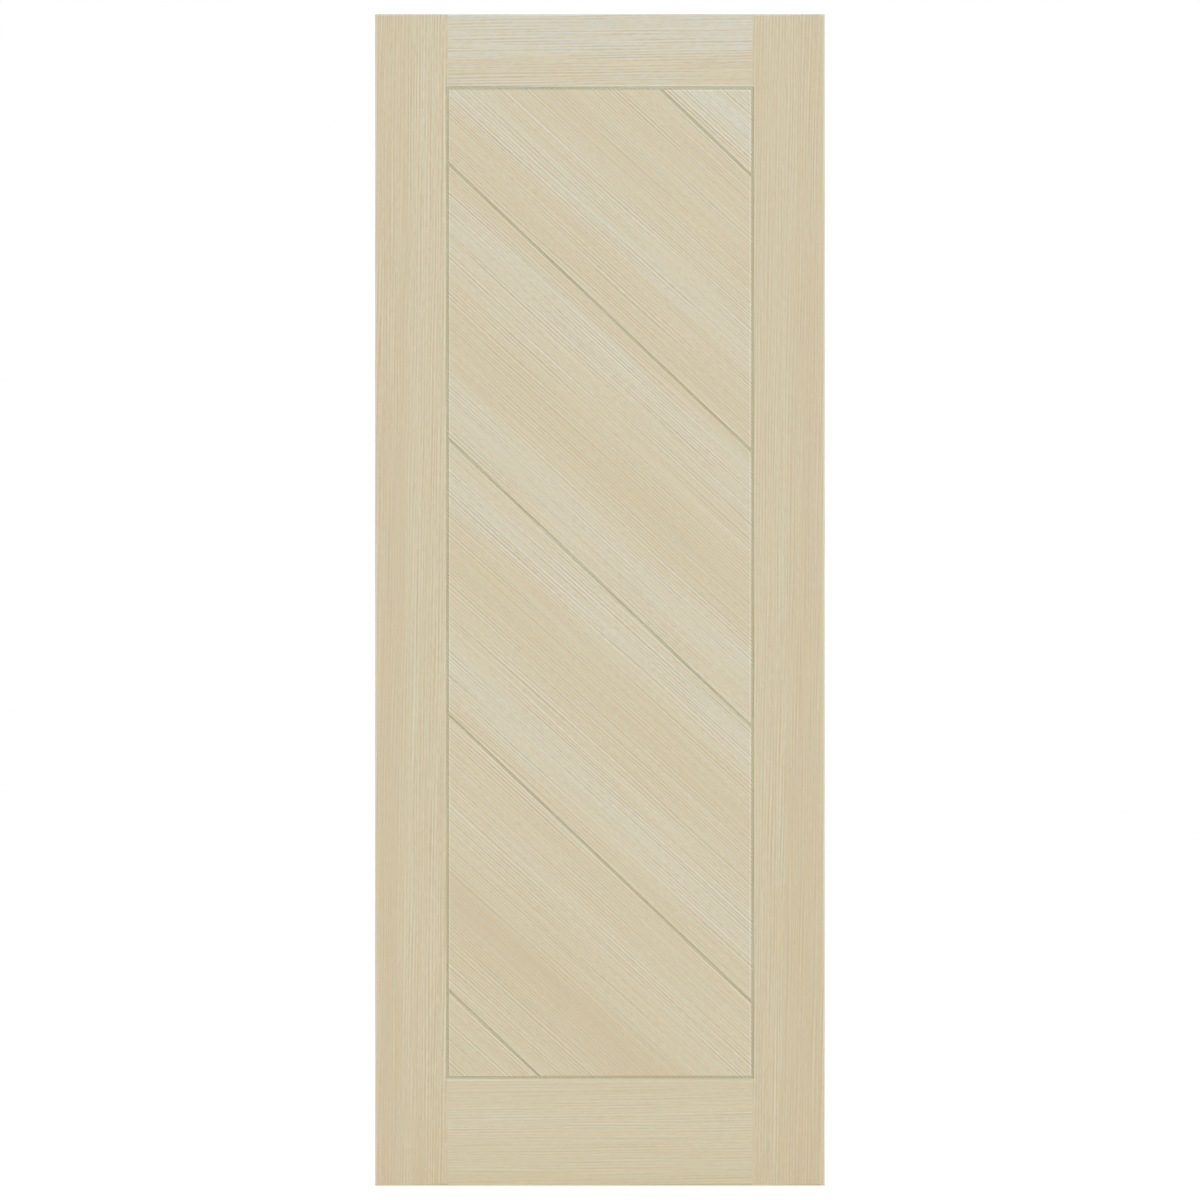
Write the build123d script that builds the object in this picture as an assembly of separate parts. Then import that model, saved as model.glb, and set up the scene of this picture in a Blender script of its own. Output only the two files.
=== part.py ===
from build123d import *
import math
import os

# An interior door leaf of pale veneered wood. Two full-height stiles and two rails frame a panel of
# diagonal boards, flush on both faces. A V-groove runs round the panel, and the same V parts the boards.
# Each frame member is a core with a facing on either side, and a solid lipping closes each long edge.
# Origin: foot of the hanging edge at mid-thickness. +X runs to the lock edge, +Z up, the front faces -Y.

# Leaf, in millimetres
leaf_width = 760.0
leaf_height = 1980.0
leaf_thickness = 35.0
edge_arris = 1.0  # easing along the four outer edges of each face

# Frame
stile_width = 122.0  # lipping included, to the middle of the panel groove
top_rail_depth = 125.0  # to the middle of the panel groove
bottom_rail_depth = 182.0
lipping_width = 8.0
facing_thickness = 6.0

# Panel
groove_width = 7.0  # mouth of the V, whose sides stand at 45 degrees
board_pitch = 338.0  # from groove to groove, square to the boards
board_slope = 43.5  # degrees that a board falls from the upper left to the lower right

# Places that follow from the sizes
core_face = leaf_thickness / 2 - facing_thickness
groove_depth = groove_width / 2
middle_x = leaf_width / 2
lock_joint = leaf_width - stile_width
head_joint = leaf_height - top_rail_depth
panel_width = lock_joint - stile_width
panel_height = head_joint - bottom_rail_depth
panel_middle = bottom_rail_depth + panel_height / 2

# Spans that several pieces share
full_height = (0, leaf_height)
front_span = (-leaf_thickness / 2, -core_face)
core_span = (-core_face, core_face)
left_span = (lipping_width, stile_width)
right_span = (lock_joint, leaf_width - lipping_width)
panel_span = (stile_width, lock_joint)
top_span = (head_joint, leaf_height)
bottom_span = (0, bottom_rail_depth)


def block(x_span, y_span, z_span):
    """Return a plain block that fills the three spans."""
    spans = (x_span, y_span, z_span)
    lows = [low for low, high in spans]
    sizes = [high - low for low, high in spans]
    return Pos(*lows) * Box(*sizes, align=(Align.MIN, Align.MIN, Align.MIN))


def front_plane(y):
    """Return the upright plane at y that looks out of the front, centred on the panel."""
    return Plane(origin=(middle_x, y, panel_middle), x_dir=(1, 0, 0), z_dir=(0, -1, 0))


def eased_leaf():
    """Return the whole leaf as one block with its face edges eased."""
    leaf = block((0, leaf_width), (-leaf_thickness / 2, leaf_thickness / 2), full_height)
    faces = leaf.faces().sort_by(Axis.Y)
    return chamfer(faces[0].edges() + faces[-1].edges(), edge_arris)


def panel_flare():
    """Return the flared block whose sides are the frame's side of the panel groove."""
    floor = front_plane(groove_depth - leaf_thickness / 2)
    mouth = front_plane(-leaf_thickness / 2)
    return loft([
        floor * Rectangle(panel_width, panel_height),
        mouth * Rectangle(panel_width + groove_width, panel_height + groove_width),
    ], ruled=True)


def frame_facings():
    """Return the four front facings of the frame, with stopped and mitred groove sides."""
    blocks = {
        "left_stile": block(left_span, front_span, full_height),
        "right_stile": block(right_span, front_span, full_height),
        "top_rail": block(panel_span, front_span, top_span),
        "bottom_rail": block(panel_span, front_span, bottom_span),
    }
    leaf, flare = eased_leaf(), panel_flare()
    return {name: (piece & leaf) - flare for name, piece in blocks.items()}


def frame_cores():
    """Return the cores of the stiles and rails, and the core behind the boards."""
    panel_height_span = (bottom_rail_depth, head_joint)
    return {
        "left_stile_core": block(left_span, core_span, full_height),
        "right_stile_core": block(right_span, core_span, full_height),
        "top_rail_core": block(panel_span, core_span, top_span),
        "bottom_rail_core": block(panel_span, core_span, bottom_span),
        "panel_core": block(panel_span, core_span, panel_height_span),
    }


def edge_lippings():
    """Return the solid strips that close the two long edges over the full thickness."""
    leaf = eased_leaf()
    thickness_span = (-leaf_thickness / 2, leaf_thickness / 2)
    spans = {
        "left_edge_lipping": (0, lipping_width),
        "right_edge_lipping": (leaf_width - lipping_width, leaf_width),
    }
    return {name: block(span, thickness_span, full_height) & leaf for name, span in spans.items()}


def board_edges():
    """Return the places of the board edges, square to the boards from the panel's middle."""
    slope = math.radians(board_slope)
    corner = (panel_width * math.sin(slope) + panel_height * math.cos(slope)) / 2
    grooves = int((corner - groove_width) // board_pitch)
    inner = [index * board_pitch for index in range(-grooves, grooves + 1)]
    return [-corner, *inner, corner]


def panel_board(low, high):
    """Return the front board between two of its edges, with a V side all round its face."""
    reach = 2 * (panel_width + panel_height)
    band = Rot(0, 0, -board_slope) * Pos(0, (low + high) / 2) * Rectangle(reach, high - low)
    outline = Rectangle(panel_width, panel_height) & band
    board = extrude(front_plane(-core_face) * outline, amount=facing_thickness)
    return chamfer(board.faces().sort_by(Axis.Y)[0].edges(), groove_depth)


def panel_boards():
    """Return the front boards, numbered from the lower left corner to the upper right."""
    edges = board_edges()
    return [panel_board(low, high) for low, high in zip(edges, edges[1:])]


def turned(piece):
    """Return the piece turned half round the leaf's upright middle line, from front to back."""
    return piece.rotate(Axis((middle_x, 0, 0), (0, 0, 1)), 180)


def door_leaf():
    """Return every piece of the leaf by name."""
    pieces = {**frame_cores(), **edge_lippings()}
    opposite = {"left_stile": "right_stile", "right_stile": "left_stile"}
    for name, facing in frame_facings().items():
        pieces[f"{name}_front"] = facing
        pieces[f"{opposite.get(name, name)}_back"] = turned(facing)
    for number, board in enumerate(panel_boards(), start=1):
        pieces[f"front_panel_board_{number}"] = board
        pieces[f"back_panel_board_{number}"] = turned(board)
    return pieces


os.makedirs("parts", exist_ok=True)
for name, piece in door_leaf().items():
    piece.label = name
    export_step(piece, f"parts/{name}.step")
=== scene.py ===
"""Looks of an interior door leaf: veneered stiles, rails and diagonal boards in a plain white studio."""
import logging
import math
from dataclasses import dataclass
from enum import Enum

import bpy
from mathutils import Euler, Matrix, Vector


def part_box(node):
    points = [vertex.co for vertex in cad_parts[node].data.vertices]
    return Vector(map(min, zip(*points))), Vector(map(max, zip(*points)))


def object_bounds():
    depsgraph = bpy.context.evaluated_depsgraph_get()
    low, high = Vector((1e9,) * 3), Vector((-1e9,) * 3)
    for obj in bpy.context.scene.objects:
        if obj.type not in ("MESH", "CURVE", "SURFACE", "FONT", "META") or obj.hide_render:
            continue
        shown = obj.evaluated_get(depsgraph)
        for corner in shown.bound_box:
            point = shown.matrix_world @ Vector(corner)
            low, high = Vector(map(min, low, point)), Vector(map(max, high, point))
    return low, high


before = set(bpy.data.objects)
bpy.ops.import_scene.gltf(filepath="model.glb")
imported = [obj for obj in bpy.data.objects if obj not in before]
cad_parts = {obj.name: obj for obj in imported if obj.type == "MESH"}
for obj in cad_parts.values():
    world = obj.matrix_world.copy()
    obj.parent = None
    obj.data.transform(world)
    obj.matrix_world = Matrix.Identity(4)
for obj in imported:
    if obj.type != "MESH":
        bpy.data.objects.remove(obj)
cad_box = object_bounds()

LOG = logging.getLogger("door_leaf")

Colour = tuple[float, float, float, float]
Feed = bpy.types.NodeSocket | float | tuple

# The span in which nearly all values of soft noise lie.
NOISE_SPAN = (0.3, 0.7)


def linear(red: float, green: float, blue: float) -> Colour:
    """Turn a display colour into linear light.

    Args:
        red: Red from 0 to 255, as a screen shows it.
        green: Green from 0 to 255.
        blue: Blue from 0 to 255.

    Returns:
        The colour in linear light, with full alpha.
    """
    shares = [channel / 255 for channel in (red, green, blue)]
    light = [s / 12.92 if s <= 0.04045 else ((s + 0.055) / 1.055) ** 2.4 for s in shares]
    return (*light, 1.0)


def grey(level: float) -> Colour:
    """Return a plain grey that carries a value through a colour ramp."""
    return (level, level, level, 1.0)


class Side(Enum):
    """The face of the leaf that a piece lies on, as the sign that turns X to read from the left."""

    FRONT = 1.0
    BACK = -1.0


class Grain(Enum):
    """The way the grain runs on a face, in degrees above level, seen from in front of that face."""

    UPRIGHT = 89.1
    LEVEL = 0.7
    DIAGONAL = -42.3
    SAWN_UPRIGHT = 90.0
    SAWN_LEVEL = 0.0


class Tone(Enum):
    """How pale a band of veneer is, from 0 for deep tan to 1 for nearly white."""

    DEEP = 0.195
    TAN = 0.28
    PLAIN = 0.35
    SOFT = 0.43
    PALE = 0.53
    WHITE = 0.72


class Mark(Enum):
    """The mark of a layer of streaks, as levels at places of its noise, where 0.5 leaves no mark."""

    CLOUD = ((0.2, 0.0), (0.8, 1.0))
    LINE = ((0.36, 0.0), (0.64, 1.0))


@dataclass(frozen=True)
class Band:
    """One band of the veneer's figure.

    Attributes:
        place: Distance across the grain from the middle of the face that the figure covers, in metres.
        tone: How pale the veneer is there.
    """

    place: float
    tone: Tone


@dataclass(frozen=True)
class Seeds:
    """The numbers that make the grain differ from piece to piece.

    Attributes:
        first: The number of the first piece or layer on the front.
        step: What it gains from one piece or layer to the next.
        face_step: What it gains from the front to the back.
    """

    first: float
    step: float
    face_step: float = 0.0

    def of(self, count: int, side: Side = Side.FRONT) -> float:
        """Return the number of a piece or layer, counted from 0 on its face."""
        return self.first + self.step * count + self.face_step * (side is Side.BACK)


class NodeSheet:
    """A node tree with short ways to add nodes to it."""

    noise_roughness = 0.55

    def __init__(self, tree: bpy.types.NodeTree) -> None:
        """Take a tree and empty it.

        Args:
            tree: The node tree of a material, a world or a node group.
        """
        self.nodes = tree.nodes
        self.links = tree.links
        self.nodes.clear()

    def add(self, kind: str, feeds: dict[str | int, Feed], **settings: object) -> bpy.types.Node:
        """Add one node.

        Args:
            kind: The node's type.
            feeds: What goes into its inputs, by name or number: another node's output or a value.
            **settings: The node's own settings.

        Returns:
            The new node.
        """
        node = self.nodes.new(kind)
        for name, value in settings.items():
            setattr(node, name, value)
        for key, value in feeds.items():
            if isinstance(value, bpy.types.NodeSocket):
                self.links.new(value, node.inputs[key])
            else:
                node.inputs[key].default_value = value
        return node

    def math(self, operation: str, *values: Feed) -> bpy.types.NodeSocket:
        """Work out one operation on up to three values, such as ADD, ABSOLUTE or MULTIPLY_ADD."""
        return self.add("ShaderNodeMath", dict(enumerate(values)), operation=operation).outputs[0]

    def span(self, value: Feed, source: tuple[float, float],
             target: tuple[float, float] = (0.0, 1.0)) -> bpy.types.NodeSocket:
        """Turn a value within the source span into one within the target span, held at both ends."""
        spans = {"From Min": source[0], "From Max": source[1], "To Min": target[0], "To Max": target[1]}
        return self.add("ShaderNodeMapRange", {"Value": value, **spans}).outputs[0]

    def blend(self, share: Feed, first: Feed, second: Feed) -> bpy.types.NodeSocket:
        """Mix two colours by a share from 0 to 1."""
        return self.add("ShaderNodeMix", {0: share, 6: first, 7: second}, data_type="RGBA").outputs[2]

    def tint(self, colour: Feed, factor: Feed) -> bpy.types.NodeSocket:
        """Multiply a colour by another one, channel by channel."""
        return self.add("ShaderNodeVectorMath", {0: colour, 1: factor}, operation="MULTIPLY").outputs[0]

    def scale(self, colour: Feed, factor: Feed) -> bpy.types.NodeSocket:
        """Make a colour brighter or darker by a factor."""
        return self.add("ShaderNodeVectorMath", {0: colour, "Scale": factor}, operation="SCALE").outputs[0]

    def ramp(self, share: Feed, stops: list[tuple[float, Colour]], easing: str) -> bpy.types.NodeSocket:
        """Read a colour from a ramp.

        Args:
            share: The place on the ramp, from 0 to 1.
            stops: The ramp's places and colours, in order.
            easing: How the ramp runs between its stops.

        Returns:
            The colour.
        """
        node = self.add("ShaderNodeValToRGB", {"Fac": share})
        node.color_ramp.interpolation = easing
        elements = node.color_ramp.elements
        elements.remove(elements[1])
        elements[0].position, elements[0].color = stops[0]
        for place, colour in stops[1:]:
            elements.new(place).color = colour
        return node.outputs["Color"]

    def noise(self, vector: Feed, detail: float) -> bpy.types.NodeSocket:
        """Read soft noise with a mean of 0.5 at a place given in features."""
        feeds = {"Vector": vector, "Scale": 1.0, "Detail": detail, "Roughness": self.noise_roughness}
        return self.add("ShaderNodeTexNoise", feeds).outputs[0]

    def place(self) -> bpy.types.NodeSocket:
        """Read the place on the leaf, in metres."""
        return self.add("ShaderNodeTexCoord", {}).outputs["Object"]

    def parts(self, vector: Feed) -> bpy.types.NodeOutputs:
        """Split a vector into X, Y and Z."""
        return self.add("ShaderNodeSeparateXYZ", {0: vector}).outputs


@dataclass(frozen=True)
class GrainAxes:
    """Where a point of a surface lies in its wood, in metres.

    Attributes:
        along: Distance along the grain.
        depth: Distance through the thickness.
        across: Distance across the grain.
    """

    along: bpy.types.NodeSocket
    depth: bpy.types.NodeSocket
    across: bpy.types.NodeSocket

    @classmethod
    def of(cls, sheet: NodeSheet, grain: Grain, side: Side, middle: Vector) -> "GrainAxes":
        """Add the nodes that turn a place on the leaf into a place in the wood.

        Args:
            sheet: The sheet to add them to.
            grain: The way that the grain runs.
            side: The face that it is read on.
            middle: The point from which the distances count.

        Returns:
            The three distances.
        """
        turn = Euler((0.0, math.radians(grain.value), 0.0))
        flip = Vector((side.value, side.value, 1.0))
        feeds = {
            "Vector": sheet.place(),
            "Scale": tuple(flip),
            "Rotation": tuple(turn),
            "Location": tuple(-(turn.to_matrix() @ (middle * flip))),
        }
        parts = sheet.parts(sheet.add("ShaderNodeMapping", feeds).outputs[0])
        return cls(along=parts["X"], depth=parts["Y"], across=parts["Z"])

    def features(self, sheet: NodeSheet, along: float, across: float, seed: float) -> bpy.types.NodeSocket:
        """Count the place in features of a given number to a metre.

        Args:
            sheet: The sheet to add to.
            along: Features to a metre along the grain.
            across: Features to a metre across the grain and through the thickness.
            seed: A shift that makes the features differ from piece to piece.

        Returns:
            The place in features, as a vector.
        """
        feeds = {
            "X": sheet.math("MULTIPLY_ADD", self.along, along, seed),
            "Y": sheet.math("MULTIPLY_ADD", self.depth, across, seed),
            "Z": sheet.math("MULTIPLY", self.across, across),
        }
        return sheet.add("ShaderNodeCombineXYZ", feeds).outputs[0]


@dataclass(frozen=True)
class Streaks:
    """One layer of streaks along the grain.

    Attributes:
        along: Streaks to a metre along the grain.
        across: Streaks to a metre across the grain.
        detail: Octaves of finer streaks inside the layer.
        mark: The mark that each streak leaves.
        light: Share of its brightness that the veneer gains or loses from end to end of the marks.
        paleness: Paleness that it gains or loses.
    """

    along: float
    across: float
    detail: float
    mark: Mark
    light: float
    paleness: float

    def field(self, sheet: NodeSheet, axes: GrainAxes, seed: float) -> bpy.types.NodeSocket:
        """Add the nodes of the layer.

        Args:
            sheet: The sheet to add them to.
            axes: The place in the wood.
            seed: A number that makes the streaks differ from piece to piece.

        Returns:
            The marks, as a value from -0.5 to 0.5.
        """
        noise = sheet.noise(axes.features(sheet, self.along, self.across, seed), self.detail)
        stops = [(place, grey(level)) for place, level in self.mark.value]
        return sheet.math("SUBTRACT", sheet.ramp(noise, stops, "LINEAR"), 0.5)


@dataclass(frozen=True)
class GrowthLines:
    """A layer of nearly even lines along the grain, from year rings cut on edge.

    Attributes:
        across: Lines to a metre across the grain.
        stray: How far the lines stray from even spacing, in lines.
        light: Share of its brightness that the veneer gains or loses from line to gap.
        paleness: Paleness that it gains or loses.
    """

    across: float
    stray: float
    light: float
    paleness: float

    # Bends and patches to a metre along the grain, and how many lines each spans across it.
    bends_along, lines_to_a_bend = 2.5, 4
    patches_along, lines_to_a_patch = 5.0, 2
    patch_seed = 40.9
    patch_strength = (0.0, 0.5)

    def field(self, sheet: NodeSheet, axes: GrainAxes, seed: float) -> bpy.types.NodeSocket:
        """Add the nodes of the layer, with lines that are faint in some patches and clear in others.

        Args:
            sheet: The sheet to add them to.
            axes: The place in the wood.
            seed: A number that makes the lines differ from piece to piece.

        Returns:
            The lines, as a value from -0.5 to 0.5.
        """
        bends_across = self.across / self.lines_to_a_bend
        bend = sheet.noise(axes.features(sheet, self.bends_along, bends_across, seed), 1.0)
        turn = sheet.math("MULTIPLY_ADD", bend, self.stray, sheet.math("MULTIPLY", axes.across, self.across))
        wave = sheet.math("SINE", sheet.math("MULTIPLY", turn, math.tau))
        patches_across = self.across / self.lines_to_a_patch
        patches = axes.features(sheet, self.patches_along, patches_across, seed + self.patch_seed)
        clear = sheet.span(sheet.noise(patches, 0.0), NOISE_SPAN, self.patch_strength)
        return sheet.math("MULTIPLY", wave, clear)


@dataclass(frozen=True)
class Veneer:
    """Pale bleached veneer with a matt lacquer, on fibreboard that shows where the board is cut square.

    Attributes:
        name: The finish's name.
        grain: The way that the grain runs.
        side: The face that it lies on.
        middle: The point from which the figure's bands count, in metres.
        figure: The pale and tan bands, in order across the grain.
        seed: A number that makes the streaks differ from piece to piece.
        painted_top_light: Paleness that the piece gains with each metre of height, painted light that falls
            brighter towards the top.
        contrast: How strongly the streaks show on the piece.
        shade: Share of the streaks' change of light that the piece shows.
    """

    name: str
    grain: Grain
    side: Side
    middle: Vector
    figure: tuple[Band, ...]
    seed: float
    painted_top_light: float = 0.0
    contrast: float = 1.0
    shade: float = 1.0

    palette = (
        (0.00, linear(204, 186, 154.5)),
        (0.17, linear(206.6, 191.2, 161.6)),
        (0.39, linear(210, 199.7, 171)),
        (0.57, linear(210.3, 203, 178.3)),
        (0.83, linear(210.2, 206.8, 190)),
        (1.00, linear(210.5, 208.8, 197)),
    )
    stripes = Streaks(along=1.6, across=75.0, detail=1.0, mark=Mark.CLOUD, light=0.0, paleness=0.08)
    threads = Streaks(along=5.0, across=800.0, detail=0.0, mark=Mark.LINE, light=0.038, paleness=0.19)
    fibres = Streaks(along=90.0, across=800.0, detail=0.0, mark=Mark.LINE, light=0.036, paleness=0.16)
    lines = GrowthLines(across=200.0, stray=2.0, light=0.115, paleness=0.50)
    blush = Streaks(along=6.0, across=700.0, detail=0.0, mark=Mark.LINE, light=0.0, paleness=0.0)
    rosy, mossy = (1.026, 1.0, 0.98), (0.974, 1.0, 1.02)
    # Painted highlight on the rounded arrises, paler than the face.
    arris_painted_highlight = (1.2, 1.22, 1.31)
    # Painted shade in the groove flanks, darker with a slight green cast.
    groove_painted_shade = (0.93, 0.978, 0.98)
    board_colour = linear(176, 146, 108)
    lacquer_roughness, lacquer_sheen = (0.52, 0.66), 0.3

    # Height of the raised grain, in metres, and the span of the marks that it comes from.
    relief, relief_strength, relief_span = 0.00012, 0.6, (-0.6, 0.6)

    # How far the grain strays to either side, in metres, and its bends to a metre.
    wander, wanders_along, wanders_across = 0.004, 1.3, 2.2

    # How strongly the streaks show, from tan bands to pale ones and from quiet zones to lively ones.
    band_strength = (0.5, 1.4)
    zones_along, zones_across, zone_strength = 1.1, 11.0, (0.75, 1.2)

    # Shifts that keep the layers of one piece from repeating each other.
    layer_seeds = Seeds(first=11.3, step=12.6)
    stripe_seed, zone_seed, blush_seed = 3.7, 71.3, 83.1

    # How squarely a surface faces the front, or up for the cuts, where a tinge starts and where it is full:
    # the painted highlight on the arrises, the painted shade in the grooves and the fibreboard on the cuts.
    arris_facing, groove_facing, cut_facing = (0.997, 0.991), (0.90, 0.82), (0.9, 0.97)
    flecks_to_a_metre, fleck_detail, fleck_light = 900.0, 3.0, (0.82, 1.15)

    def wandering(self, sheet: NodeSheet, axes: GrainAxes) -> GrainAxes:
        """Bend the grain a little to and fro along its length.

        Args:
            sheet: The sheet to add to.
            axes: The place in straight wood.

        Returns:
            The place in the bent wood.
        """
        slow = sheet.noise(axes.features(sheet, self.wanders_along, self.wanders_across, self.seed), 1.0)
        shift = sheet.span(slow, (0.0, 1.0), (-self.wander, self.wander))
        return GrainAxes(axes.along, axes.depth, sheet.math("ADD", axes.across, shift))

    def paleness(self, sheet: NodeSheet, axes: GrainAxes) -> bpy.types.NodeSocket:
        """Work out how pale the veneer is, from its bands, its stripes and its height, where painted light
        makes it paler towards the top.

        Args:
            sheet: The sheet to add to.
            axes: The place in the wood.

        Returns:
            The paleness, from 0 to 1.
        """
        first, last = self.figure[0].place, self.figure[-1].place
        stops = [((band.place - first) / (last - first), grey(band.tone.value)) for band in self.figure]
        bands = sheet.ramp(sheet.span(axes.across, (first, last)), stops, "EASE")
        stripes = self.stripes.field(sheet, axes, self.seed + self.stripe_seed)
        pale = sheet.math("MULTIPLY_ADD", stripes, self.stripes.paleness, bands)
        # Painted light: the veneer grows paler towards the top, where the light from above falls brighter.
        rise = sheet.math("SUBTRACT", sheet.parts(sheet.place())["Z"], self.middle.z)
        return sheet.math("MULTIPLY_ADD", rise, self.painted_top_light, pale)

    def liveliness(self, sheet: NodeSheet, axes: GrainAxes, pale: Feed) -> bpy.types.NodeSocket:
        """Work out how strongly the streaks show: more in pale bands, and in some zones of the sheet.

        Args:
            sheet: The sheet to add to.
            axes: The place in the wood.
            pale: How pale the veneer is.

        Returns:
            The strength, where 1 shows the streaks as they are given.
        """
        in_band = sheet.span(pale, (Tone.DEEP.value, Tone.PALE.value), self.band_strength)
        places = axes.features(sheet, self.zones_along, self.zones_across, self.seed + self.zone_seed)
        weak, strong = (strength * self.contrast for strength in self.zone_strength)
        in_zone = sheet.span(sheet.noise(places, 1.0), NOISE_SPAN, (weak, strong))
        return sheet.math("MULTIPLY", in_band, in_zone)

    def material(self) -> bpy.types.Material:
        """Make the finish.

        Returns:
            The material, with colour, gloss and relief from its nodes.
        """
        made = bpy.data.materials.new(self.name)
        made.use_nodes = True
        sheet = NodeSheet(made.node_tree)
        axes = self.wandering(sheet, GrainAxes.of(sheet, self.grain, self.side, self.middle))
        pale = self.paleness(sheet, axes)
        lively = self.liveliness(sheet, axes, pale)
        light, height = 1.0, 0.0
        for number, layer in enumerate((self.threads, self.fibres, self.lines)):
            marks = layer.field(sheet, axes, self.seed + self.layer_seeds.of(number))
            height = sheet.math("ADD", height, marks)
            marks = sheet.math("MULTIPLY", marks, lively)
            light = sheet.math("MULTIPLY_ADD", marks, layer.light * self.shade, light)
            pale = sheet.math("MULTIPLY_ADD", marks, layer.paleness, pale)
        colour = sheet.scale(sheet.ramp(pale, list(self.palette), "LINEAR"), light)
        flush = sheet.math("ADD", self.blush.field(sheet, axes, self.seed + self.blush_seed), 0.5)
        colour = sheet.tint(colour, sheet.blend(flush, (*self.mossy, 1.0), (*self.rosy, 1.0)))
        relief = {"Height": height, "Strength": self.relief_strength, "Distance": self.relief}
        feeds = {
            "Base Color": self.with_edges(sheet, colour),
            "Roughness": sheet.span(height, self.relief_span, self.lacquer_roughness),
            "Normal": sheet.add("ShaderNodeBump", relief).outputs[0],
            "Specular IOR Level": self.lacquer_sheen,
        }
        surface = sheet.add("ShaderNodeBsdfPrincipled", feeds)
        sheet.add("ShaderNodeOutputMaterial", {"Surface": surface.outputs[0]})
        return made

    def with_edges(self, sheet: NodeSheet, veneer: bpy.types.NodeSocket) -> bpy.types.NodeSocket:
        """Paint a highlight onto the sanded arrises and shade into the grooves, and show the fibreboard on
        the cut head and foot.

        Args:
            sheet: The sheet to add to.
            veneer: The colour of the face.

        Returns:
            The colour of the whole board.
        """
        parts = sheet.parts(sheet.add("ShaderNodeNewGeometry", {}).outputs["True Normal"])
        facing = sheet.math("ABSOLUTE", parts["Y"])
        arris_highlight_mask, groove_shade_mask = sheet.span(facing, self.arris_facing), sheet.span(facing, self.groove_facing)
        # Painted highlight: the arrises' rounds are coloured paler than the face.
        colour = sheet.blend(arris_highlight_mask, veneer, sheet.tint(veneer, self.arris_painted_highlight))
        # Painted shade in the grooves: their flanks are coloured darker, with a slight green cast.
        colour = sheet.blend(groove_shade_mask, colour, sheet.tint(veneer, self.groove_painted_shade))
        flecks = sheet.noise(sheet.scale(sheet.place(), self.flecks_to_a_metre), self.fleck_detail)
        board = sheet.scale(self.board_colour[:3], sheet.span(flecks, NOISE_SPAN, self.fleck_light))
        on_cut = sheet.span(sheet.math("ABSOLUTE", parts["Z"]), self.cut_facing)
        return sheet.blend(on_cut, colour, board)


@dataclass(frozen=True)
class Softwood:
    """Bare sawn softwood glued up from strips, with the rings of each strip on its cut end.

    Attributes:
        name: The finish's name.
        grain: The way that the strips run.
        seed: A number that makes the rings differ from piece to piece.
    """

    name: str
    grain: Grain
    seed: float

    strip_width = 0.038
    first_seam = (0.018, 0.0, 0.010)
    early_wood = linear(222, 193, 148)
    late_wood = linear(188, 144, 96)
    late_start = 0.7
    glue, glue_span = linear(150, 112, 74), (0.485, 0.495)

    # How far the pith turns round from strip to strip, in radians, and how far off it lies, in metres.
    strip_turn, pith_below, pith_beside, taper = 2.4, 0.06, 0.05, 0.4
    ring_scale, ring_waver, ring_detail, waver_scale = 62.0, 1.6, 2.0, 0.6

    # Fibres to a metre, and how they lighten and darken the wood.
    fibres_along, fibres_across, fibre_detail = 12.0, 700.0, 2.0
    fibre_span, fibre_light = (0.25, 0.75), (0.85, 1.1)
    relief, relief_strength = 0.0002, 0.5
    roughness, sheen = 0.8, 0.25

    def material(self) -> bpy.types.Material:
        """Make the finish.

        Returns:
            The material, with rings, glue lines and raised fibre from its nodes.
        """
        made = bpy.data.materials.new(self.name)
        made.use_nodes = True
        sheet = NodeSheet(made.node_tree)
        axes = GrainAxes.of(sheet, self.grain, Side.FRONT, Vector(self.first_seam))
        strip = sheet.math("DIVIDE", axes.across, self.strip_width)
        number = sheet.math("FLOOR", strip)
        share = sheet.math("SUBTRACT", strip, number)
        turn = sheet.math("MULTIPLY", number, self.strip_turn)
        pith = sheet.add("ShaderNodeCombineXYZ", {
            "X": sheet.math("MULTIPLY", axes.along, self.taper),
            "Y": sheet.math("MULTIPLY_ADD", sheet.math("SINE", turn), self.pith_below, axes.depth),
            "Z": sheet.math("MULTIPLY_ADD", sheet.math("COSINE", turn), self.pith_beside, axes.across),
        }).outputs[0]
        rings = sheet.add("ShaderNodeTexWave", {
            "Vector": pith, "Scale": self.ring_scale, "Distortion": self.ring_waver,
            "Detail": self.ring_detail, "Detail Scale": self.waver_scale,
            "Phase Offset": sheet.math("ADD", turn, self.seed),
        }, wave_type="RINGS", rings_direction="X", wave_profile="SAW").outputs["Fac"]
        stops = [(0.0, self.early_wood), (self.late_start, self.early_wood), (1.0, self.late_wood)]
        places = axes.features(sheet, self.fibres_along, self.fibres_across, self.seed)
        fibre = sheet.noise(places, self.fibre_detail)
        light = sheet.span(fibre, self.fibre_span, self.fibre_light)
        colour = sheet.scale(sheet.ramp(rings, stops, "EASE"), light)
        seam = sheet.math("ABSOLUTE", sheet.math("SUBTRACT", share, 0.5))
        relief = {"Height": fibre, "Strength": self.relief_strength, "Distance": self.relief}
        feeds = {
            "Base Color": sheet.blend(sheet.span(seam, self.glue_span), colour, self.glue),
            "Roughness": self.roughness,
            "Normal": sheet.add("ShaderNodeBump", relief).outputs[0],
            "Specular IOR Level": self.sheen,
        }
        surface = sheet.add("ShaderNodeBsdfPrincipled", feeds)
        sheet.add("ShaderNodeOutputMaterial", {"Surface": surface.outputs[0]})
        return made


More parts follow.
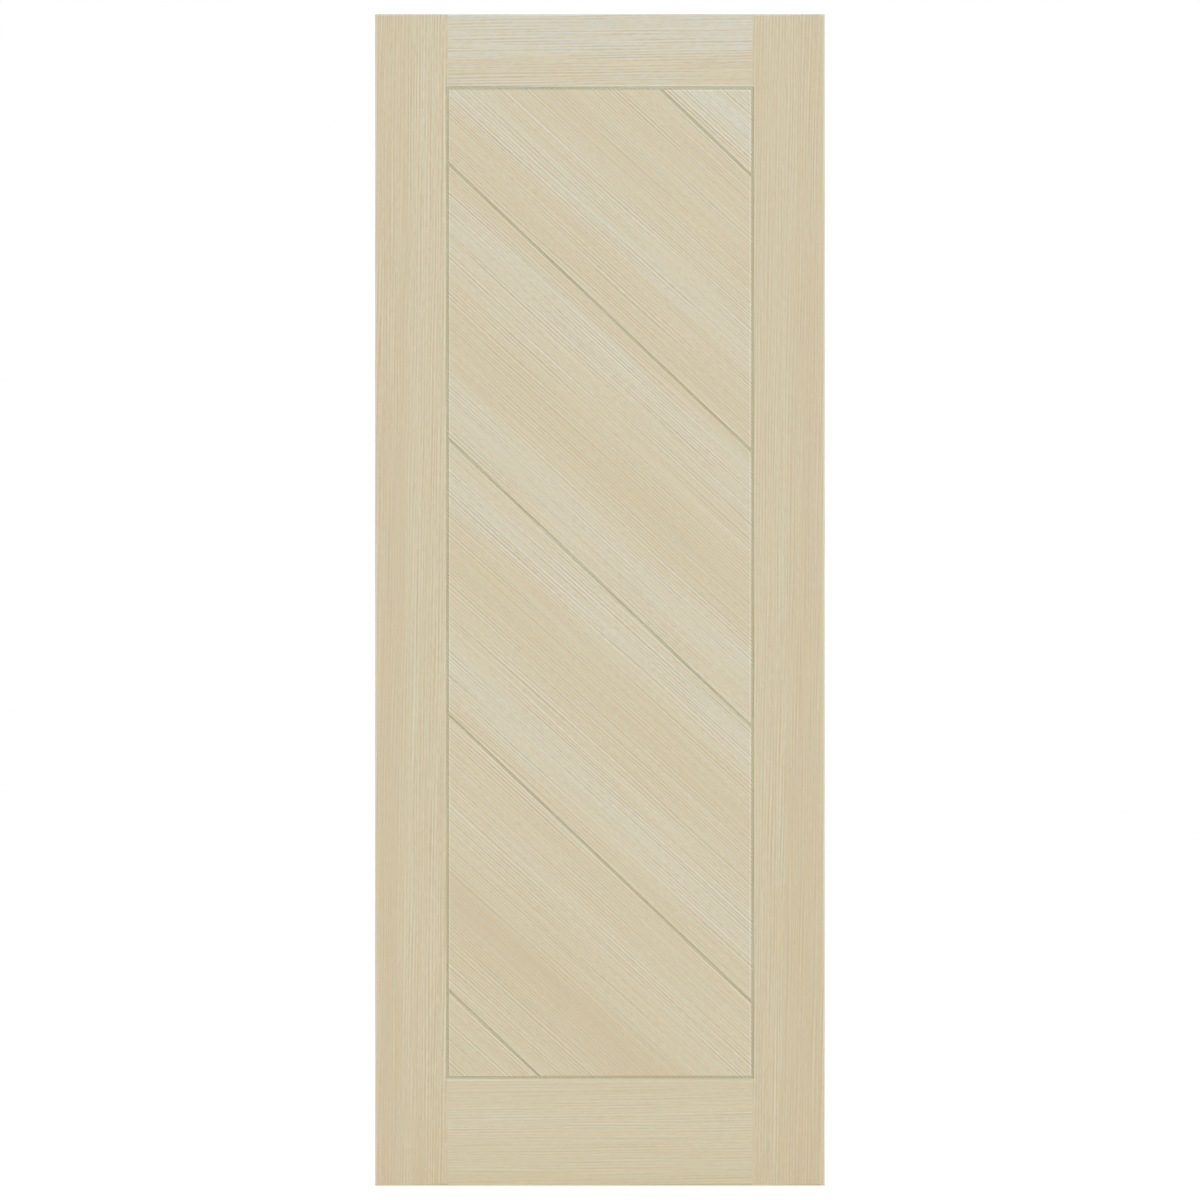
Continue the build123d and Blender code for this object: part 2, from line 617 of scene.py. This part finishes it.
@dataclass(frozen=True)
class EasedArris:
    """The small round that sanding leaves where a face turns into a groove or an eased edge.

    Attributes:
        width: Width of the round on each side of the edge, in metres.
        flattest: Least turn between two faces that is sanded, in degrees.
        sharpest: Greatest turn that is sanded, so that butt joints stay tight, in degrees.
        near_face: How far below the face of the leaf an edge may lie, in metres.
        facets: Flats that make up the round.
        weld_gap: Distance up to which points of the mesh are taken as one, in metres.
    """

    width: float = 0.0010
    flattest: float = 20.0
    sharpest: float = 70.0
    near_face: float = 0.0002
    facets: int = 3
    weld_gap: float = 0.00001

    def marker(self) -> bpy.types.NodeTree:
        """Make the node group that marks the edges to round, or find it if it is there.

        Returns:
            The node group.
        """
        found = bpy.data.node_groups.get("eased_edges")
        if found:
            return found
        group = bpy.data.node_groups.new("eased_edges", "GeometryNodeTree")
        for direction in ("INPUT", "OUTPUT"):
            group.interface.new_socket("Geometry", in_out=direction, socket_type="NodeSocketGeometry")
        sheet = NodeSheet(group)
        shape = sheet.add("NodeGroupInput", {}).outputs[0]
        angle = sheet.add("GeometryNodeInputMeshEdgeAngle", {}).outputs["Unsigned Angle"]
        point = sheet.add("GeometryNodeInputPosition", {}).outputs[0]
        level = sheet.math("ABSOLUTE", sheet.parts(point)["Y"])
        tests = (
            sheet.math("GREATER_THAN", angle, math.radians(self.flattest)),
            sheet.math("LESS_THAN", angle, math.radians(self.sharpest)),
            sheet.math("GREATER_THAN", level, cad_box[1].y - self.near_face),
        )
        weight = sheet.math("MULTIPLY", sheet.math("MULTIPLY", tests[0], tests[1]), tests[2])
        feeds = {"Geometry": shape, "Name": "bevel_weight_edge", "Value": weight}
        marked = sheet.add("GeometryNodeStoreNamedAttribute", feeds, data_type="FLOAT", domain="EDGE")
        sheet.add("NodeGroupOutput", {0: marked.outputs[0]})
        return group

    def ease(self, piece: bpy.types.Object) -> None:
        """Round the marked edges of a piece with modifiers, so that its own mesh stays as it is.

        Args:
            piece: The piece's object.
        """
        weld = piece.modifiers.new("weld", "WELD")
        weld.merge_threshold = self.weld_gap
        mark = piece.modifiers.new("mark", "NODES")
        mark.node_group = self.marker()
        bevel = piece.modifiers.new("ease", "BEVEL")
        bevel.limit_method = "WEIGHT"
        bevel.width = self.width
        bevel.segments = self.facets
        bevel.use_clamp_overlap = True


@dataclass
class Stiles:
    """The facings of the two upright members, with their own figure on each.

    Attributes:
        left_painted_top_light: Paleness that the stile on the left of a face gains with each metre of height,
            painted light that falls brighter towards the top.
        right_painted_top_light: Paleness that the one on the right gains, also painted light.
        contrast: How strongly the streaks show on a stile.
        left_figure: The bands of the stile on the left, from its right edge.
        right_figure: The bands of the stile on the right, from its right edge.
        seeds: The numbers that make their grain differ.
    """

    left_painted_top_light: float = 0.057
    right_painted_top_light: float = 0.036
    contrast: float = 1.25
    left_figure: tuple[Band, ...] = (
        Band(-0.062, Tone.TAN), Band(-0.018, Tone.TAN), Band(-0.003, Tone.PLAIN), Band(0.010, Tone.TAN),
        Band(0.022, Tone.DEEP), Band(0.062, Tone.DEEP),
    )
    right_figure: tuple[Band, ...] = (
        Band(-0.062, Tone.DEEP), Band(-0.012, Tone.DEEP), Band(0.004, Tone.TAN), Band(0.050, Tone.TAN),
        Band(0.060, Tone.DEEP),
    )
    seeds: Seeds = Seeds(first=5.0, step=8.0, face_step=17.0)

    def dress(self, arris: EasedArris) -> list[str]:
        """Dress the four stile facings.

        Args:
            arris: The rounds of their sanded edges.

        Returns:
            The names of the pieces.
        """
        looks = ((self.left_figure, self.left_painted_top_light), (self.right_figure, self.right_painted_top_light))
        dressed = []
        for side in Side:
            hands = ("left", "right") if side is Side.FRONT else ("right", "left")
            for number, (hand, (figure, painted_top_light)) in enumerate(zip(hands, looks)):
                node = f"{hand}_stile_{side.name.lower()}"
                low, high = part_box(node)
                seed = self.seeds.of(number, side)
                finish = Veneer(f"veneer_{node}", Grain.UPRIGHT, side, (low + high) / 2, figure, seed,
                                painted_top_light, self.contrast)
                put_on(node, finish.material(), arris)
                dressed.append(node)
        return dressed


@dataclass
class Rails:
    """The facings of the two level members, the top one much paler than the bottom one.

    Attributes:
        top_figure: The bands of the top rail, from its foot.
        bottom_figure: The bands of the bottom rail, from its foot.
        top_contrast: How strongly the streaks show on the top rail.
        bottom_contrast: How strongly they show on the bottom rail.
        top_shade: Share of the streaks' change of light that the top rail shows.
        bottom_shade: Share that the bottom rail shows.
        seeds: The numbers that make their grain differ.
    """

    top_figure: tuple[Band, ...] = (
        Band(-0.062, Tone.PALE), Band(-0.050, Tone.SOFT), Band(-0.030, Tone.SOFT), Band(-0.008, Tone.PALE),
        Band(0.000, Tone.WHITE), Band(0.030, Tone.WHITE), Band(0.062, Tone.WHITE),
    )
    bottom_figure: tuple[Band, ...] = (
        Band(-0.090, Tone.TAN), Band(-0.060, Tone.PLAIN), Band(-0.020, Tone.PLAIN), Band(0.000, Tone.SOFT),
        Band(0.030, Tone.SOFT), Band(0.055, Tone.PLAIN), Band(0.090, Tone.PLAIN),
    )
    top_contrast: float = 1.75
    bottom_contrast: float = 0.95
    top_shade: float = 0.25
    bottom_shade: float = 0.6
    seeds: Seeds = Seeds(first=61.0, step=7.0, face_step=19.0)

    def dress(self, arris: EasedArris) -> list[str]:
        """Dress the four rail facings.

        Args:
            arris: The rounds of their sanded edges.

        Returns:
            The names of the pieces.
        """
        looks = (
            ("top", self.top_figure, self.top_contrast, self.top_shade),
            ("bottom", self.bottom_figure, self.bottom_contrast, self.bottom_shade),
        )
        dressed = []
        for side in Side:
            for number, (name, figure, contrast, shade) in enumerate(looks):
                node = f"{name}_rail_{side.name.lower()}"
                low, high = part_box(node)
                seed = self.seeds.of(number, side)
                finish = Veneer(f"veneer_{node}", Grain.LEVEL, side, (low + high) / 2, figure, seed,
                                contrast=contrast, shade=shade)
                put_on(node, finish.material(), arris)
                dressed.append(node)
        return dressed


@dataclass
class PanelBoards:
    """The diagonal boards of both faces, cut in order from one sheet so that the bands run on.

    Attributes:
        figure: The bands of the whole panel, from its lower left corner to its upper right one.
        seeds: The numbers that make the grain of the boards differ.
    """

    figure: tuple[Band, ...] = (
        Band(-0.757, Tone.TAN), Band(-0.710, Tone.PLAIN), Band(-0.615, Tone.TAN), Band(-0.550, Tone.DEEP),
        Band(-0.500, Tone.PLAIN), Band(-0.430, Tone.SOFT), Band(-0.395, Tone.PLAIN), Band(-0.330, Tone.PLAIN),
        Band(-0.292, Tone.PALE), Band(-0.262, Tone.PALE), Band(-0.235, Tone.SOFT), Band(-0.172, Tone.PLAIN),
        Band(-0.127, Tone.TAN), Band(-0.092, Tone.PLAIN), Band(-0.045, Tone.PALE), Band(0.000, Tone.SOFT),
        Band(0.060, Tone.PALE), Band(0.106, Tone.PLAIN), Band(0.145, Tone.TAN), Band(0.235, Tone.SOFT),
        Band(0.286, Tone.PALE), Band(0.315, Tone.PALE), Band(0.332, Tone.PLAIN), Band(0.428, Tone.PLAIN),
        Band(0.442, Tone.PALE), Band(0.520, Tone.SOFT), Band(0.560, Tone.PLAIN), Band(0.600, Tone.SOFT),
        Band(0.640, Tone.PLAIN), Band(0.690, Tone.SOFT), Band(0.730, Tone.WHITE), Band(0.772, Tone.PALE),
    )
    seeds: Seeds = Seeds(first=101.0, step=13.0, face_step=200.0)

    def dress(self, arris: EasedArris) -> list[str]:
        """Dress every board.

        Args:
            arris: The rounds of their sanded edges.

        Returns:
            The names of the pieces.
        """
        low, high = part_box("panel_core")
        dressed = []
        for side in Side:
            nodes = sorted(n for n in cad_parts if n.startswith(f"{side.name.lower()}_panel_board_"))
            for number, node in enumerate(nodes):
                seed = self.seeds.of(number, side)
                finish = Veneer(f"veneer_{node}", Grain.DIAGONAL, side, (low + high) / 2, self.figure, seed)
                put_on(node, finish.material(), arris)
                dressed.append(node)
        return dressed


@dataclass
class Carcass:
    """The softwood cores, which show at the head and foot of the leaf, and the lippings of the long edges.

    Attributes:
        lipping_figure: The bands of a lipping, from its right edge.
        painted_top_light: Paleness that a lipping gains with each metre of height, painted light that falls
            brighter towards the top.
        core_seeds: The numbers that make the rings of the cores differ.
        lipping_seeds: The numbers that make the grain of the lippings differ.
    """

    lipping_figure: tuple[Band, ...] = (Band(-0.004, Tone.TAN), Band(0.0, Tone.TAN), Band(0.004, Tone.DEEP))
    painted_top_light: float = 0.057
    core_seeds: Seeds = Seeds(first=3.0, step=1.0)
    lipping_seeds: Seeds = Seeds(first=401.0, step=9.0)

    def dress(self, arris: EasedArris) -> list[str]:
        """Dress the cores and lippings.

        Args:
            arris: The rounds of the lippings' sanded edges.

        Returns:
            The names of the pieces.
        """
        dressed = []
        for number, node in enumerate(sorted(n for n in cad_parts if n.endswith("_core"))):
            grain = Grain.SAWN_LEVEL if "rail" in node else Grain.SAWN_UPRIGHT
            put_on(node, Softwood(f"softwood_{node}", grain, self.core_seeds.of(number)).material(), None)
            dressed.append(node)
        for number, node in enumerate(("left_edge_lipping", "right_edge_lipping")):
            low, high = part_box(node)
            seed = self.lipping_seeds.of(number)
            finish = Veneer(f"veneer_{node}", Grain.UPRIGHT, Side.FRONT, (low + high) / 2,
                            self.lipping_figure, seed, self.painted_top_light)
            put_on(node, finish.material(), arris)
            dressed.append(node)
        return dressed


def put_on(node: str, finish: bpy.types.Material, arris: EasedArris | None) -> None:
    """Give a node of the leaf its finish and, where it has sanded edges, its rounds.

    Args:
        node: The node's name.
        finish: The material.
        arris: The rounds, or None for a piece that keeps its saw-sharp edges.
    """
    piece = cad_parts[node]
    piece.data.materials.clear()
    piece.data.materials.append(finish)
    if arris:
        arris.ease(piece)


@dataclass
class Studio:
    """A white floor and background, soft lamps before and behind the leaf, and the camera.

    Attributes:
        view_width: Width of the view at the leaf's face, in metres.
        aim_shift: How far the view's middle lies from the leaf's, to the right and up, in metres.
        lens: Focal length, in millimetres, long so that the view is nearly flat.
        sensor: Width of the camera's sensor, in millimetres.
        sight: How far the camera sees, in metres.
        surround: Light from all round, as a share of the full level.
        key: Light of the front lamp on the leaf's face, as a share of the full level.
        fill: Light of the lamp behind on the leaf's back.
        lamp_right: Degrees that each lamp stands to the right, seen from its own side.
        lamp_up: Degrees that each lamp stands above level.
        lamp_spread: Degrees that each lamp spans, which softens its shadows.
        floor_reach: How far the floor runs from the leaf's middle, in metres.
        floor_drop: Gap under the leaf, in metres.
        floor_white: Share of the light that the floor sends back.
        floor_lift: Brightness that the floor has in the picture beside what it sends back.
    """

    view_width: float = 2.0292
    aim_shift: tuple[float, float] = (0.0001, -0.0004)
    lens: float = 200.0
    sensor: float = 36.0
    sight: float = 100.0
    surround: float = 0.69
    key: float = 0.292
    fill: float = 0.24
    lamp_right: float = 13.0
    lamp_up: float = 12.0
    lamp_spread: float = 24.0
    floor_reach: float = 4.0
    floor_drop: float = 0.0006
    floor_white: float = 0.92
    floor_lift: float = 0.39

    def surroundings(self) -> None:
        """Light the leaf from all round, with a white background."""
        world = bpy.data.worlds.new("white_surround")
        world.use_nodes = True
        bpy.context.scene.world = world
        sheet = NodeSheet(world.node_tree)
        path = sheet.add("ShaderNodeLightPath", {}).outputs
        seen = sheet.math("MAXIMUM", path["Is Camera Ray"], path["Is Glossy Ray"])
        seen = sheet.math("MAXIMUM", seen, path["Is Transmission Ray"])
        strength = sheet.span(seen, (0.0, 1.0), (self.surround, 1.0))
        back = sheet.add("ShaderNodeBackground", {"Color": (1.0, 1.0, 1.0, 1.0), "Strength": strength})
        sheet.add("ShaderNodeOutputWorld", {"Surface": back.outputs[0]})

    def lamp(self, side: Side, share: float) -> None:
        """Hang a soft lamp before or behind the leaf.

        Args:
            side: The face of the leaf that it lights.
            share: Its light on that face, as a share of the full level.
        """
        right, up = math.radians(self.lamp_right), math.radians(self.lamp_up)
        towards = Vector((-math.sin(right), math.cos(right), -math.tan(up))).normalized()
        light = bpy.data.lights.new(f"{side.name.lower()}_lamp", "SUN")
        light.energy = math.pi * share / towards.y
        light.angle = math.radians(self.lamp_spread)
        hung = bpy.data.objects.new(light.name, light)
        towards *= Vector((side.value, side.value, 1.0))
        hung.rotation_euler = towards.to_track_quat("-Z", "Y").to_euler()
        bpy.context.scene.collection.objects.link(hung)

    def floor(self) -> None:
        """Lay the white floor just under the leaf, where it keeps the leaf's shadow."""
        low, high = cad_box
        middle = (low + high) / 2
        reach, level = self.floor_reach, low.z - self.floor_drop
        signs = ((-1, -1), (1, -1), (1, 1), (-1, 1))
        corners = [(middle.x + x * reach, middle.y + y * reach, level) for x, y in signs]
        mesh = bpy.data.meshes.new("floor")
        mesh.from_pydata(corners, [], [(0, 1, 2, 3)])
        floor = bpy.data.objects.new("floor", mesh)
        bpy.context.scene.collection.objects.link(floor)
        white = bpy.data.materials.new("white_floor")
        white.use_nodes = True
        sheet = NodeSheet(white.node_tree)
        matt = sheet.add("ShaderNodeBsdfDiffuse", {"Color": grey(self.floor_white)}).outputs[0]
        path = sheet.add("ShaderNodeLightPath", {}).outputs
        lift = sheet.math("MULTIPLY", path["Is Camera Ray"], self.floor_lift)
        glow = sheet.add("ShaderNodeEmission", {"Strength": lift}).outputs[0]
        both = sheet.add("ShaderNodeAddShader", {0: matt, 1: glow}).outputs[0]
        sheet.add("ShaderNodeOutputMaterial", {"Surface": both})
        mesh.materials.append(white)

    def camera(self) -> None:
        """Place the camera square in front of the leaf."""
        low, high = cad_box
        middle = (low + high) / 2
        lens = bpy.data.cameras.new("camera")
        lens.lens, lens.sensor_width = self.lens, self.sensor
        lens.clip_end = self.sight
        eye = bpy.data.objects.new("camera", lens)
        away = self.view_width * self.lens / self.sensor
        right, up = self.aim_shift
        eye.location = (middle.x + right, low.y - away, middle.z + up)
        eye.rotation_euler = (math.radians(90.0), 0.0, 0.0)
        bpy.context.scene.collection.objects.link(eye)
        bpy.context.scene.camera = eye

    def set_up(self) -> None:
        """Build the whole studio, with plain colour handling."""
        bpy.context.scene.view_settings.view_transform = "Standard"
        self.surroundings()
        self.lamp(Side.FRONT, self.key)
        self.lamp(Side.BACK, self.fill)
        self.floor()
        self.camera()


def main() -> None:
    """Dress the leaf piece by piece and set up the studio."""
    logging.basicConfig(level=logging.INFO, format="%(name)s: %(message)s")
    arris = EasedArris()
    for part in (Stiles(), Rails(), PanelBoards(), Carcass()):
        for node in part.dress(arris):
            LOG.info("%s: dressed %s", type(part).__name__, node)
    Studio().set_up()


if __name__ == "__main__":
    main()
